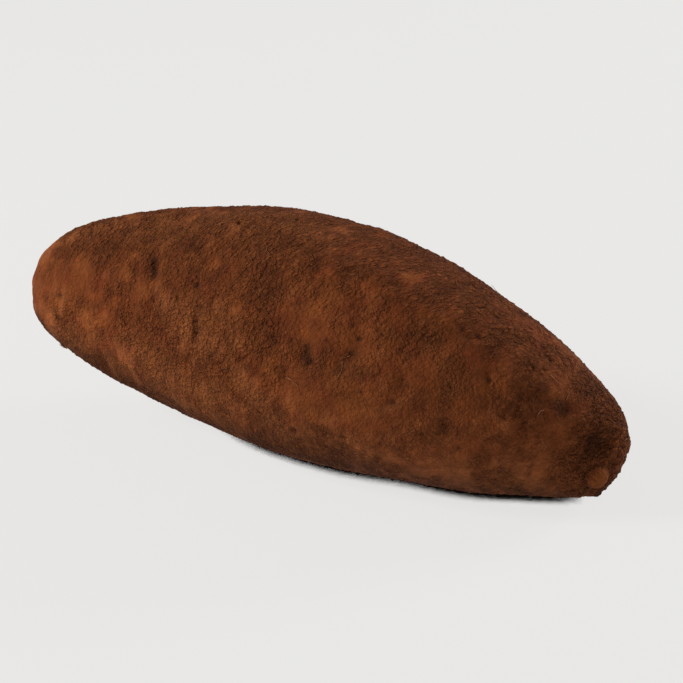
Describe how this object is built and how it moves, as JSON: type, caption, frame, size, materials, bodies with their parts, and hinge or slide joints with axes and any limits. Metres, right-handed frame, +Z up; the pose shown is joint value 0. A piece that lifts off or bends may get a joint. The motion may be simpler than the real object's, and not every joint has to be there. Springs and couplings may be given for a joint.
{
  "type": "sweet potato",
  "caption": "Whole unwashed sweet potato root, thick in the middle, with a blunt crown, a narrower tail ending in a broken stub, and dusty red-brown skin.",
  "frame": {"origin": "centre of the bounding box on the surface the root lies on", "axes": "+X along the root from the blunt crown to the tail stub, -Y the front, +Z up"},
  "size_m": [0.1914, 0.0748, 0.0723],
  "materials": {
    "skin": "matte skin under a film of dry soil"
  },
  "bodies": {
    "root": {"sweet_potato": "skin"}
  },
  "joints": []
}
